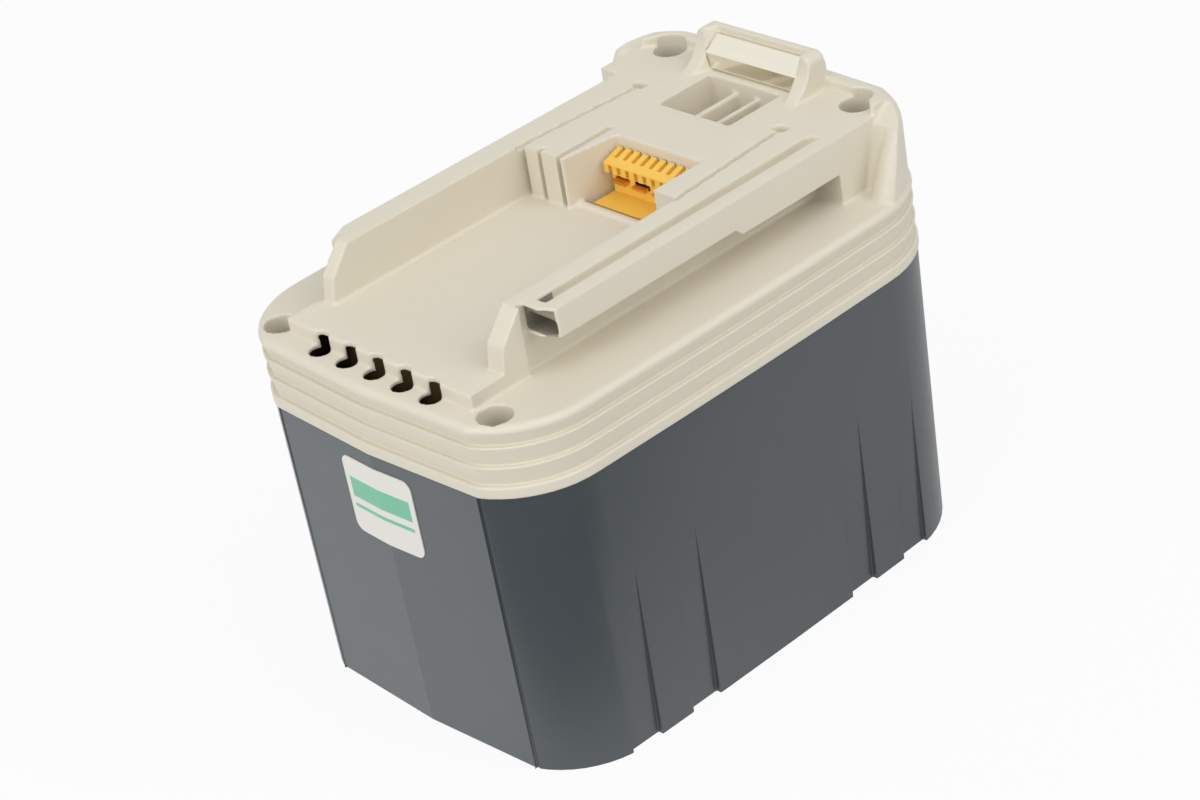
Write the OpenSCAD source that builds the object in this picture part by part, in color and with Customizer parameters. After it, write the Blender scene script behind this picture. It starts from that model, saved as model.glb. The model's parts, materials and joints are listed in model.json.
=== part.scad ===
// Slide-on rechargeable battery pack for a power tool.
// Origin: centre of the underside. +Z up, +Y towards the catch plate, +X to the side with the grooved rail.

/* [Cells] */
// Diameter of one sleeved cell
cell_d = 22.4; // [20:0.1:26]
// Length of one cell, with its button
cell_l = 42.5; // [33:0.5:50]
// Diameter of the cell's button
button_d = 9; // [6:0.5:12]
// Height of the cell's button
button_h = 1.5; // [0.8:0.1:2.5]
// Clearance between neighbouring cells
cell_gap = 0.3; // [0.1:0.05:1]
// Thickness of the nickel links
link_t = 0.25; // [0.15:0.05:0.5]
// Width of the nickel links
link_w = 8; // [5:0.5:10]
// Thickness of the fibre boards at the ends of the cell block
board_t = 1; // [0.6:0.1:2]
// Thickness of the pads under and over the cell block
pad_t = 0.8; // [0.5:0.1:3]

/* [Case] */
// Thickness of the moulded walls
wall = 2.5; // [1.8:0.1:3.5]
// Room between the cells and the long walls
side_room = 3.6; // [2.5:0.1:8]
// Room between the end boards and the end walls
end_room = 11.8; // [10.5:0.1:18]
// How far the long sides bow out at the middle
side_bow = 0.9; // [0.4:0.1:2]
// Radius of the front corners
corner_r = 19; // [14:0.5:22]
// Radius of the rear corners
rear_corner_r = 21; // [16:0.5:24]
// Width of the crease between an end wall and its corners
crease_w = 0.6; // [0.3:0.1:1]
// How far the end walls slope back at the corners, per unit of width
end_slope = 0.05; // [0.02:0.01:0.1]
// How far the end walls lean in at the foot of the case
end_draft = 1.1; // [0.4:0.1:2]
// Width of one flute on the long sides
flute_w = 7; // [4:0.2:10]
// Depth of a flute at the foot of the case
flute_d = 1.2; // [0.5:0.1:1.5]
// Height at which the flutes run out
flute_h = 38; // [20:1:50]
// Distance between the two flutes of a pair
flute_pitch = 15.2; // [12:0.1:20]
// Distance from the middle of the flutes to the middle of a pair
flute_out = 29.6; // [22:0.1:30]
// How far the flutes as a group sit forward of the middle of the case
flute_shift = 1.3; // [0:0.1:3]
// Height of the lap between the case and the cap
lap_h = 2; // [1.5:0.1:2.2]
// Clearance in the lap and of other parts that are fitted together
fit_gap = 0.15; // [0.1:0.05:0.3]

/* [Cap] */
// Height of the cap's skirt
skirt_h = 14.5; // [12:0.5:20]
// Number of bands on the skirt above its plain lip
bands = 3; // [2:1:4]
// Height of the plain lip at the foot of the skirt
lip_h = 2.4; // [1.5:0.1:4]
// How far each band draws in towards its foot
band_step = 1.2; // [0.3:0.1:1.3]
// How far the cap's lip stands out past the case
cap_out = 0.3; // [0.1:0.1:0.8]
// Height of the rounded edge of the deck
deck_edge = 1.2; // [0.6:0.1:2]
// Height of the trough floor above the deck
floor_h = 3; // [2:0.1:5]
// Distance from the end wall to the front of the trough floor
floor_set = 5.7; // [5.4:0.1:9]
// Radius of the vent holes
vent_r = 2.1; // [1.2:0.1:2.4]
// Distance between vent holes
vent_pitch = 7.6; // [5.5:0.1:9]
// Number of vent holes
vents = 5; // [3:1:5]
// Thickness of the deck round the vent holes
vent_skin = 0.9; // [0.6:0.1:1.5]

/* [Rails] */
// Height of the rails above the deck
rail_h = 13.5; // [11:0.5:16]
// Clear width of the trough between the rails
trough_w = 41.8; // [38:0.1:44]
// Thickness of a rail's upright wall
rail_wall = 3.1; // [2.5:0.1:4]
// Width of the flat on top of the plain rail
rail_flat = 5.7; // [5:0.1:7]
// Distance from the middle to the outer face of the rail lips
lip_x = 31.2; // [29:0.1:33]
// Height of the slide groove under the lips, in its rear part
groove_h = 6.3; // [5.5:0.1:7]
// How much higher the groove is in its front part
relief_h = 1.4; // [0.5:0.1:2]
// Length of the groove's rear part
relief_set = 27.6; // [20:0.1:35]
// Drop of the plain rail's lip towards its outer edge
lip_drop = 4.4; // [3.5:0.1:5]
// Distance from the end wall to the nose of the rails
nose_set = 13.7; // [12:0.1:20]
// Length of the slope on the nose
nose_l = 5.6; // [3:0.1:8]
// Height of the slope on the nose
nose_drop = 5.6; // [3:0.1:7]
// How far the upright part of the nose leans back
nose_lean = 0.8; // [0:0.1:1.5]
// Length of the thicker part of the nose
nose_w = 5.8; // [5:0.1:6.5]
// Distance from the nose to the front of the lips
lip_set = 9.1; // [7:0.1:14]
// Width of the channel on top of the grooved rail
channel_w = 2.5; // [2:0.1:4]
// Depth of the channel
channel_d = 2; // [0.8:0.1:2.4]
// Distance from the channel to the outer face of the lip
channel_in = 3.3; // [1.2:0.1:4]

/* [Rear block] */
// Distance from the rear wall to the front face of the block
block_set = 53.7; // [51:0.1:57]
// Distance from the rear wall to the closed end of the slide grooves
stop_set = 22.2; // [20:0.1:26]
// Distance from the rear wall to the corner posts
post_set = 11.6; // [11:0.1:14]
// Height of the rim round the rear corners above the block
rim_h = 2; // [0.4:0.1:2.5]
// Width of that rim
rim_w = 6; // [4:0.5:7]
// Radius of the rim's rounded outer edge
rim_edge = 4.2; // [1.5:0.1:5]
// Setback of the corner posts from the edge of the deck
post_in = 0.3; // [0.3:0.1:1]
// Radius of the screw wells
well_r = 3.3; // [3.2:0.05:4]
// Distance of the front wells from the middle
front_well_x = 29.3; // [28.5:0.1:30]
// Distance of the front wells from the end wall
front_well_set = 7.1; // [6.8:0.1:8.5]
// Distance of the rear wells from the middle
rear_well_x = 24.7; // [24:0.1:26.5]
// Distance of the rear wells from the rear wall
rear_well_set = 9.2; // [8.2:0.1:10]

/* [Latch recess and hook] */
// Width of the latch recess
recess_w = 18.6; // [14:0.2:20]
// Length of the latch recess
recess_l = 14; // [10:0.5:14.5]
// Depth of the latch recess
recess_d = 8; // [5:0.5:9]
// Distance from the rear wall to the front of the recess
recess_set = 27.6; // [27:0.1:30]
// Thickness of the two ribs in the recess
rib_t = 1.2; // [0.8:0.1:1.4]
// Depth of the ribs' tops below the block
rib_drop = 2.4; // [1:0.2:4]
// Width of the hook block
hook_w = 30; // [29:0.2:34]
// Height of the hook block above the block
hook_h = 7.7; // [7:0.1:10]
// Length of the hook block's foot
hook_l = 12.2; // [11.5:0.1:13]
// Distance from the rear wall to the back of the hook block
hook_set = 5.7; // [4.5:0.1:7]
// How far the back of the hook block leans forward at its top
hook_lean = 0.8; // [0.2:0.1:1.2]
// Thickness of the steel catch plate
plate_t = 0.8; // [0.5:0.1:1.2]
// Width of the catch plate
plate_w = 24.4; // [22:0.2:26]

/* [Terminals] */
// Width of the terminal pocket at its back
pocket_w = 22.4; // [20:0.2:24]
// Length of the terminal pocket
pocket_l = 12.7; // [11.5:0.1:13.5]
// Offset of the pocket from the middle
pocket_x = 3.8; // [3:0.1:5]
// How far the pocket's plain side flares out towards its mouth
pocket_flare = 2; // [0.5:0.1:2.5]
// Depth of the pocket
pocket_d = 13.3; // [12:0.1:14]
// Height of the terminal holder
holder_h = 11.2; // [10.5:0.1:12]
// Fall of its top towards the front
holder_fall = 1.5; // [0.5:0.1:2]
// Height of its lower jaw
lower_jaw = 2.9; // [2.4:0.1:3.6]
// Thickness of its upper jaw
upper_jaw = 2.1; // [1.7:0.1:2.5]
// How far the upper jaw stands back from the lower one
jaw_step = 3.8; // [3:0.1:4.5]
// Thickness of the holder's back
holder_back = 2.7; // [2.4:0.1:3.2]
// Pitch of the combed slots in the upper jaw
comb_pitch = 2.3; // [1.8:0.1:3]
// Width of the combed slots
comb_w = 0.9; // [0.5:0.1:1.2]
// Width of one contact leaf
leaf_w = 3.4; // [2.4:0.1:4]
// Thickness of one contact leaf
leaf_t = 0.35; // [0.25:0.05:0.5]
// Radius of the rolled knuckle on a leaf
knuckle_r = 0.8; // [0.6:0.05:0.9]
// Running clearance of the knuckle in its seat
knuckle_gap = 0.05; // [0.02:0.01:0.1]
// Thickness of a solder tag
tag_t = 0.5; // [0.3:0.05:0.8]
// How far the tags reach behind the pocket
tag_l = 5; // [3:0.5:8]

/* [Screws and leads] */
// Radius of the screw shank
screw_r = 1.5; // [1.2:0.1:1.8]
// Length of the screw below its head
screw_l = 19; // [14:1:22]
// Radius of the screw head
head_r = 2.9; // [2.6:0.1:3.1]
// Height of the screw head
head_h = 2.2; // [1.6:0.1:3]
// Height of the head's seat above the joint of case and cap
seat_h = 6; // [5:0.5:8]
// Radius of the power leads
lead_r = 1.1; // [0.8:0.1:1.4]
// Radius of the sense leads
sense_r = 0.5; // [0.4:0.1:0.7]
// Width of the label
label_w = 19; // [14:0.5:24]
// Height of the label
label_h = 16.6; // [12:0.2:22]
// Distance from the joint of case and cap down to the label
label_set = 3; // [2:0.5:6]
// Thickness of the label
label_t = 0.2; // [0.1:0.05:0.4]

/* [Hidden] */
$fn = 72;
eps = 0.01;
arc_steps = 10;
edge_steps = 4;
far = 400;
cells_wide = 3;
cells_high = 3;
cells_long = 2;
columns = cells_wide * cells_high;
cells = columns * cells_long;
leaves = 4;

cell_r = cell_d / 2;
pitch = cell_d + cell_gap;
strap_t = link_t;
half_column = cell_l + strap_t / 2;
brick_w = cells_wide * pitch - cell_gap;
brick_h = cells_high * pitch - cell_gap;
board_in = half_column + link_t;
board_out = board_in + board_t;

half_w = brick_w / 2 + side_room + wall;
half_l = board_out + end_room + wall;
bow_r = (half_l * half_l + side_bow * side_bow) / (2 * side_bow);

layer_z0 = wall + pad_t + cell_r;
brick_top = layer_z0 + (cells_high - 1) * pitch + cell_r;
deck_under = brick_top + pad_t;
deck_z = deck_under + wall;
joint_z = deck_z - skirt_h;
trough_z = deck_z + floor_h;
top_z = deck_z + rail_h;
rim_z = top_z + rim_h;
hook_z = top_z + hook_h;
draft_angle = atan(end_draft / joint_z);
lap_t = wall / 2;

rail_in = trough_w / 2;
groove_x = rail_in + rail_wall;
groove_z = deck_z + groove_h;
floor_y = -half_l + floor_set;
nose_y = -half_l + nose_set;
lip_y = nose_y + lip_set;
block_y = half_l - block_set;
stop_y = half_l - stop_set;
post_y = half_l - post_set;
post_lean = 4.1;
post_tilt = 6.8;
post_foot = post_y - 3.4;
post_r = 3.3;
post_x = half_w - 3.9;
floor_x = groove_x + 1.2;
lip_hollow = 7;
lip_skin = 0.5;
lip_edge = 0.6;
lip_room = rail_h - groove_h - relief_h - lip_skin;
channel_set = 0.6;
stop_hollow = [3, 6, 1.2];
relief_y = stop_y - relief_set;
rim_run = 6;
rim_fall = rim_h + 2.7;
vent_back = vent_r * 0.45;
vent_wall = 0.6;
vent_rise = 1.8;
slit_w = 1;
slit_d = 1.2;
slit_l = 30;
slit_turn = 4;
slit_in = 3;
mark_r = 1.6;
mark_w = 0.4;
mark_d = 0.3;
marks = [[-12.6, half_l - 32.3], [-13, half_l - 23.5]];
sense_run = 6;
lip_skew = 1.8;

well_head = joint_z + seat_h;
wells = [for (s = [-1, 1]) each [
    [s * front_well_x, -half_l + front_well_set],
    [s * rear_well_x, half_l - rear_well_set]
]];
boss_r = well_r + 1.5;
case_boss_r = screw_r + 2.4;

recess_y0 = half_l - recess_set;
recess_y1 = recess_y0 + recess_l;
recess_z = top_z - recess_d;
rib_x = recess_w / 6 - rib_t / 4;
hook_y1 = half_l - hook_set;
hook_y0 = hook_y1 - hook_l;
cheek_r = hook_h - 0.5;
hook_in = hook_w / 2 - 1.7;
hook_round = 2;
hook_turn = 24.7;
hook_tilt = 18.1;
plate_foot = [hook_y0 + 6, top_z + 0.3];
plate_bend = [plate_foot[0] + 0.3, plate_foot[1] + 3.1];
plate_head = [plate_foot[0] + 3, hook_z - 1.3];
plate_slot = [0.8, 0.6];

pocket_y0 = block_y;
pocket_y1 = block_y + pocket_l;
pocket_z = top_z - pocket_d;
pocket_left = pocket_x - pocket_w / 2;
pocket_right = pocket_x + pocket_w / 2;
sill_in = 1.8;
sill_t = 1.5;
sill_h = 0.5;
sill_gap = 0.8;
skin = 1.8;
holder_gap = 0.3;
holder_x0 = pocket_left + holder_gap;
holder_x1 = pocket_right - holder_gap;
holder_w = holder_x1 - holder_x0;
holder_y0 = pocket_y0 + sill_in + sill_t + sill_gap;
holder_y1 = pocket_y1 - holder_gap;
holder_z1 = pocket_z + holder_h;
mouth_z = pocket_z + lower_jaw;
jaw_z = holder_z1 - holder_fall - upper_jaw;
jaw_y = holder_y0 + jaw_step;
back_y = holder_y1 - holder_back;
knuckle_y = back_y + holder_back / 2;
knuckle_z = (mouth_z + jaw_z) / 2 + 0.5;
leaf_tip_y = jaw_y + 0.4;
leaf_lift = 8;
leaf_room = holder_back / 2 * tan(leaf_lift);
tag_z = mouth_z + 0.6;
tag_w = leaf_w - 0.6;
tag_y0 = back_y + 0.5;
tag_y1 = pocket_y1 + skin + tag_l;
lead_z = deck_under + lead_r + 0.4;

function cell_name(i) = str("cell_", i < 10 ? "0" : "", i);
function leaf_x(i) = holder_x0 + holder_w * (i - 0.5) / leaves;
function side_x(y) = sqrt(bow_r * bow_r - y * y) - (bow_r - half_w);
// Corner arcs of the front (sy < 0) and rear (sy > 0) end: radius and centre.
function end_r(sy) = sy < 0 ? corner_r : rear_corner_r;
function end_y(sy) = half_l - end_r(sy);
function end_x(sy) = side_x(end_y(sy)) - end_r(sy);
// Column k of the series path, as [step across, layer up]: the path runs to and fro, layer by layer.
function column_at(k) = let (layer = floor(k / cells_wide), step = k % cells_wide)
    [layer % 2 == 0 ? step : cells_wide - 1 - step, layer];
function column_x(k) = (column_at(k)[0] - (cells_wide - 1) / 2) * pitch;
function column_z(k) = layer_z0 + column_at(k)[1] * pitch;

// Plan outline of case and cap: bowed sides, V-shaped ends and round corners, drawn in by an inset.
module outline(inset = 0) {
    intersection() {
        intersection_for(s = [-1, 1])
            translate([s * (half_w - bow_r), 0]) circle(r = bow_r - inset, $fn = 720);
        polygon([for (s = [-1, 1]) each [
            [s * far, -s * (half_l - inset - end_slope * far)],
            [s * far, s * (half_l - inset - end_slope * far)],
            [0, s * (half_l - inset)]
        ]]);
        union() {
            translate([-2 * half_w, -end_y(-1)]) square([4 * half_w, end_y(-1) + end_y(1)]);
            for (sy = [-1, 1]) {
                translate([-end_x(sy), sy > 0 ? 0 : -2 * half_l]) square([2 * end_x(sy), 2 * half_l]);
                for (sx = [-1, 1])
                    translate([sx * end_x(sy), sy * end_y(sy)]) circle(r = end_r(sy) - inset);
            }
        }
    }
}

// Slab of the plan outline from z0 to z1.
module slab(z0, z1, inset = 0) {
    translate([0, 0, z0]) linear_extrude(z1 - z0) outline(inset);
}

// The same outline as a ring of points: the right half from the front ridge to the rear one, then the left.
function arc_end(inset, sy) = let (
    r = end_r(sy) - inset,
    d = half_l - inset - end_y(sy) - end_slope * end_x(sy),
    s = end_slope,
    u = (s * d + sqrt(s * s * d * d - (1 + s * s) * (d * d - r * r))) / (1 + s * s)
) atan2(d - s * u, u);
function arc_points(inset, sy) = [for (k = [0 : arc_steps])
    let (a = arc_end(inset, sy) * (sy < 0 ? arc_steps - k : k) / arc_steps, r = end_r(sy) - inset)
        [end_x(sy) + r * cos(a), sy * (end_y(sy) + r * sin(a))]];
function half_ring(inset) = concat(
    [[0, inset - half_l]],
    arc_points(inset, -1),
    [for (y = [-end_y(-1) / 2, 0, end_y(1) / 2]) [side_x(y) - inset, y]],
    arc_points(inset, 1),
    [[0, half_l - inset]]
);
function ring(inset) = let (half = half_ring(inset), last = len(half) - 1)
    concat(half, [for (k = [last - 1 : -1 : 1]) [-half[k][0], half[k][1]]]);
function lean_in(q, lean) = [q[0], q[1] - sign(q[1]) * (is_undef(lean) ? 0 : lean)];

// Solid through outline rings: the profile lists [height, inset, lean of the ends] from the foot up.
module ring_stack(profile) {
    m = len(ring(0));
    top = (len(profile) - 1) * m;
    polyhedron(
        points = [for (p = profile) for (q = ring(p[1])) [each lean_in(q, p[2]), p[0]]],
        faces = concat(
            [[for (k = [0 : m - 1]) k]],
            [[for (k = [m - 1 : -1 : 0]) top + k]],
            [for (j = [0 : len(profile) - 2], k = [0 : m - 1])
                let (a = j * m + k, b = j * m + (k + 1) % m) each [[a, a + m, b + m], [a, b + m, b]]]
        )
    );
}

// Quarter-round edge as profile points that end at the given height and start at the given inset.
function round_edge(z, inset, r) = [for (k = [0 : edge_steps])
    let (a = 90 * k / edge_steps) [z - r + r * sin(a), inset + r * (1 - cos(a))]];

// Rings of the case body, with ends that lean in towards the foot.
function case_rows(z0, inset = 0) = [
    [z0, inset, end_draft * (joint_z - z0) / joint_z * sqrt(1 + end_slope * end_slope)],
    [joint_z, inset]
];

// Creases where the end walls meet the corners.
module creases() {
    for (sx = [-1, 1], sy = [-1, 1]) {
        tip = arc_points(0, sy)[sy < 0 ? 0 : arc_steps];
        translate([sx * tip[0], tip[1], joint_z]) rotate([-sy * draft_angle, 0, 0]) rotate([0, 0, 45])
            cube([crease_w, crease_w, far], center = true);
    }
}

module flutes() {
    for (sx = [-1, 1], pair = [-1, 1], k = [-0.5, 0.5]) {
        y = pair * flute_out + k * flute_pitch - flute_shift;
        translate([sx * side_x(y), y, 0]) rotate([0, sx * atan(flute_d / flute_h), sx * asin(y / bow_r)])
            translate([-sx * flute_d + (sx > 0 ? 0 : -wall), -flute_w / 2, -wall])
                cube([wall, flute_w, flute_h + wall]);
    }
}

module case_ribs() {
    for (sx = [-1, 1], y = [-0.7, -0.25, 0.25, 0.7] * half_column)
        translate([sx > 0 ? brick_w / 2 + holder_gap : -half_w + wall / 2, y - 0.8, wall - eps])
            cube([half_w - wall / 2 - brick_w / 2 - holder_gap, 1.6, joint_z - wall + eps]);
    for (sy = [-1, 1], x = [-0.06, 0.06] * brick_w)
        translate([x - 0.8, sy > 0 ? board_out + fit_gap : -half_l + wall, wall - eps])
            cube([1.6, half_l - wall - board_out - fit_gap, joint_z - wall + eps]);
}

module lower_case() {
    color("#565d63") difference() {
        union() {
            difference() {
                ring_stack(concat(case_rows(0), [for (z = [0, lap_h]) [joint_z + z, wall - lap_t]]));
                ring_stack(concat(case_rows(wall, wall), [[joint_z + lap_h + 1, wall]]));
            }
            intersection() {
                union() {
                    case_ribs();
                    for (w = wells)
                        translate([w[0], w[1], wall - eps]) cylinder(r = case_boss_r, h = joint_z - wall + eps);
                }
                ring_stack(case_rows(0, wall / 2));
            }
        }
        flutes();
        creases();
        for (w = wells)
            translate([w[0], w[1], well_head - screw_l - 1])
                cylinder(r = screw_r + knuckle_gap, h = screw_l + 1);
    }
}

// Skirt with bands that stand proud at their top edge and draw in below it.
module skirt() {
    band_h = (skirt_h - lip_h) / bands;
    ring_stack(concat(
        [[joint_z, -cap_out], [joint_z + lip_h, -cap_out]],
        [for (b = [0 : bands - 1]) each [
            [joint_z + lip_h + b * band_h, band_step - cap_out],
            if (b < bands - 1) [joint_z + lip_h + (b + 1) * band_h, -cap_out]
        ]],
        round_edge(deck_z, -cap_out, deck_edge)
    ));
}

// Side profile of a rail: upright at the foot of its nose, then sloped, as far as y1.
module rail_bar(x0, x1, y1 = post_y) {
    translate([x1, 0, 0]) rotate([0, -90, 0]) linear_extrude(x1 - x0) polygon([
        [deck_under, nose_y],
        [trough_z, nose_y],
        [top_z - nose_drop, nose_y + nose_lean],
        [top_z, nose_y + nose_l],
        [top_z, y1],
        [deck_under, y1]
    ]);
}

module grooved_rail() {
    difference() {
        union() {
            rail_bar(rail_in, groove_x);
            rail_bar(groove_x - eps, floor_x, nose_y + nose_w);
            translate([0, 0, groove_z]) linear_extrude(top_z - groove_z) polygon([
                [groove_x - eps, lip_y - lip_skew],
                [groove_x + 3.6, lip_y - lip_skew],
                [lip_x, lip_y],
                [lip_x, post_y],
                [groove_x - eps, post_y]
            ]);
        }
        translate([lip_x - channel_in - channel_w, lip_y + channel_set, top_z - channel_d])
            cube([channel_w, stop_y - lip_y - channel_set - 1, channel_d + 1]);
        translate([groove_x, lip_y - lip_skew - 1, groove_z + relief_h + lip_skin]) {
            cube([lip_x - groove_x - lip_skin, lip_hollow, lip_room - channel_d - lip_skin]);
            cube([lip_x - groove_x - lip_skin, lip_skew + 1 - lip_edge / 2, lip_room - lip_edge]);
        }
    }
}

module plain_rail() {
    mirror([1, 0, 0]) {
        rail_bar(rail_in, rail_in + rail_wall);
        translate([0, lip_y, 0]) rotate([90, 0, 0]) mirror([0, 0, 1]) linear_extrude(post_y - lip_y) polygon([
            [groove_x - 0.2, groove_z],
            [lip_x, groove_z],
            [lip_x, top_z - lip_drop],
            [rail_in + rail_flat, top_z],
            [groove_x - 0.2, top_z]
        ]);
        translate([groove_x - eps, lip_y - lip_skew, groove_z])
            cube([rail_flat - rail_wall - 1, post_y - lip_y, top_z - groove_z]);
    }
}

// Front part of both grooves, higher than their rear part, with a ramp between.
module groove_reliefs() {
    for (s = [0, 1]) mirror([s, 0, 0]) translate([groove_x, 0, 0])
        rotate([90, 0, 90]) linear_extrude(lip_x - groove_x + 1) polygon([
            [lip_y - lip_skew - 1, groove_z - 1],
            [relief_y + relief_h, groove_z - 1],
            [relief_y + relief_h, groove_z],
            [relief_y, groove_z + relief_h],
            [lip_y - lip_skew - 1, groove_z + relief_h]
        ]);
}

// Rear corners: two posts under a rim with a rounded edge that slopes down to the posts.
module rear_corners() {
    difference() {
        rear_corner_mass();
        for (s = [0, 1]) mirror([s, 0, 0]) translate([lip_x - lip_skin, post_y + rim_run, rim_z])
            rotate([atan(rim_fall / (rim_run + post_r)), 0, 0]) translate([0, -far, 0]) cube(far);
    }
}

module rear_corner_mass() {
    intersection() {
        ring_stack(concat([[deck_under, post_in - 0.1]], round_edge(rim_z, post_in, rim_edge)));
        union() {
            translate([0, post_y, top_z]) rotate([-atan(post_lean / rail_h), 0, 0])
                translate([-far / 2, 0, -far / 2]) cube(far);
            for (s = [-1, 1])
                translate([s * post_x, post_foot, deck_z]) rotate([-atan(post_tilt / rail_h), 0, 0])
                    cylinder(r = post_r, h = far, center = true);
        }
    }
}

module rear_step() {
    difference() {
        translate([-far / 2, post_y - far, top_z]) cube([far, 2 * far, far]);
        difference() {
            translate([-far / 2, -far, 0]) cube([far, 3 * far, rim_z + 1]);
            translate([0, 0, -1]) linear_extrude(far) outline(rim_w);
        }
    }
}

// Hook block: two cheeks with hollowed fronts, and a leaning wall between them behind the steel plate.
module hook_block() {
    difference() {
        translate([0, hook_y1, top_z - 1]) rotate([90, 0, 0]) linear_extrude(hook_l) {
            translate([-hook_w / 2, 0]) square([hook_w, hook_h + 1 - hook_round]);
            translate([-hook_w / 2 + hook_round, 0]) square([hook_w - 2 * hook_round, hook_h + 1]);
            for (s = [-1, 1])
                translate([s * (hook_w / 2 - hook_round), hook_h + 1 - hook_round]) circle(r = hook_round);
        }
        translate([0, hook_y0, top_z + cheek_r]) rotate([0, 90, 0]) cylinder(r = cheek_r, h = far, center = true);
        translate([-far / 2, hook_y0 - 1, top_z + cheek_r]) cube([far, cheek_r + 1, far]);
        intersection() {
            intersection_for(s = [0, 1])
                mirror([s, 0, 0]) translate([hook_in, hook_y0, top_z]) rotate([0, hook_tilt, hook_turn])
                    translate([-far, -far / 2, -far / 2]) cube(far);
            rotate([90, 0, 90]) linear_extrude(far, center = true) polygon([
                [hook_y0 - 1, top_z],
                [plate_foot[0] + plate_t, top_z],
                [plate_foot[0] + plate_t, plate_foot[1]],
                [plate_bend[0] + plate_t, plate_bend[1]],
                [plate_head[0] + plate_t, plate_head[1]],
                [plate_head[0] + plate_t, hook_z + 1],
                [hook_y0 - 1, hook_z + 1]
            ]);
        }
        translate([0, hook_y1 - hook_lean, hook_z]) rotate([atan(hook_lean / hook_h), 0, 0])
            translate([-far / 2, 0, -far / 2]) cube([far, far, far]);
        plate_bar(plate_w + 2 * fit_gap);
        translate([-plate_w / 2, plate_head[0] + plate_t - eps, plate_head[1] - plate_slot[1]])
            cube([plate_w, plate_slot[0] + eps, 2 * plate_slot[1]]);
    }
}

module plate_bar(width) {
    rotate([90, 0, 90]) linear_extrude(width, center = true) polygon([
        plate_foot,
        plate_bend,
        plate_head,
        plate_head + [plate_t, 0],
        plate_bend + [plate_t, 0],
        plate_foot + [plate_t, 0]
    ]);
}

module catch_plate() {
    color("#d8d6cc") plate_bar(plate_w);
}

// Terminal pocket, drawn out by a skin for its walls.
module pocket_space(grow = 0) {
    translate([0, 0, pocket_z - grow]) linear_extrude(far) polygon([
        [pocket_left - pocket_flare - grow, pocket_y0 - grow],
        [pocket_left - grow, pocket_y1 + grow],
        [pocket_right + grow, pocket_y1 + grow],
        [pocket_right + grow, pocket_y0 - grow]
    ]);
}

module recess_space(grow = 0) {
    translate([-recess_w / 2 - grow, recess_y0 - grow, recess_z - grow])
        cube([recess_w + 2 * grow, recess_l + 2 * grow, far]);
}

module cap_mass() {
    skirt();
    translate([-groove_x, floor_y, deck_under]) cube([2 * groove_x, post_y - floor_y, trough_z - deck_under]);
    translate([-floor_x, floor_y, deck_under])
        cube([2 * floor_x, nose_y + nose_w - floor_y, trough_z - deck_under]);
    grooved_rail();
    plain_rail();
    translate([-rail_in - eps, block_y, deck_under])
        cube([2 * rail_in + 2 * eps, post_y - block_y + 1, top_z - deck_under]);
    translate([-lip_x, stop_y, deck_under]) cube([2 * lip_x, post_y - stop_y + 1, top_z - deck_under]);
    rear_corners();
}

module cap_hollow() {
    slab(joint_z - 1, joint_z + lap_h + fit_gap, wall - lap_t - fit_gap);
    slab(joint_z - 1, deck_under, wall);
    translate([-(vents - 1) / 2 * vent_pitch - vent_r - 0.6, floor_y - vent_back - vent_r, deck_under - 1])
        cube([(vents - 1) * vent_pitch + 2 * vent_r + 1.2, vent_back + vent_r + 2 * wall + 1, 1 + wall - vent_skin]);
    translate([-(vents - 1) / 2 * vent_pitch - vent_r - 0.6, floor_y + vent_wall, deck_under - 1])
        cube([(vents - 1) * vent_pitch + 2 * vent_r + 1.2, 2 * wall + 1 - vent_wall, 1 + wall + vent_rise]);
    translate([-groove_x + wall, floor_y + 2 * wall, deck_under - 1])
        cube([2 * (groove_x - wall), tag_y1 + 4 - floor_y - 2 * wall, floor_h + 1]);
    translate([-rail_in + wall, block_y + wall, deck_under - 1])
        cube([2 * (rail_in - wall), half_l - 2 * wall - block_y, rail_h + 1]);
}

// Thin slits that part the block from the rails, and the slits in its front face.
module block_slits() {
    pocket_slit = pocket_left - pocket_flare - 1.2;
    for (s = [-1, 1])
        translate([s * rail_in, block_y, top_z]) rotate([0, 0, s * slit_turn])
            translate([-slit_w / 2, -1, -slit_d]) cube([slit_w, slit_l, 2 * slit_d]);
    for (s = [-1, 1])
        translate([s * (rail_in - slit_l * sin(slit_turn)), block_y + slit_l, top_z])
            cube([3 * slit_w, 2 * slit_w, 3 * slit_d], center = true);
    for (x = [-rail_in + 0.6, -rail_in + 5, pocket_slit])
        translate([x - slit_w / 2, block_y - 1, trough_z]) cube([slit_w, slit_in, rail_h]);
    translate([pocket_slit - slit_w / 2, block_y - 1, top_z - slit_d])
        cube([slit_w, pocket_l + slit_in, 2 * slit_d]);
}

// Round moulding marks on the block, and the hollows at the closed ends of the grooves.
module block_marks() {
    for (m = marks) translate([m[0], m[1], top_z - mark_d]) difference() {
        cylinder(r = mark_r, h = 1);
        translate([0, 0, -1]) cylinder(r = mark_r - mark_w, h = 3);
    }
    for (s = [0, 1]) mirror([s, 0, 0])
        translate([groove_x - stop_hollow[0], stop_y - stop_hollow[1], deck_z + stop_hollow[2]])
            cube([stop_hollow[0] + 1, stop_hollow[1], groove_h - stop_hollow[2]]);
}

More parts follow.
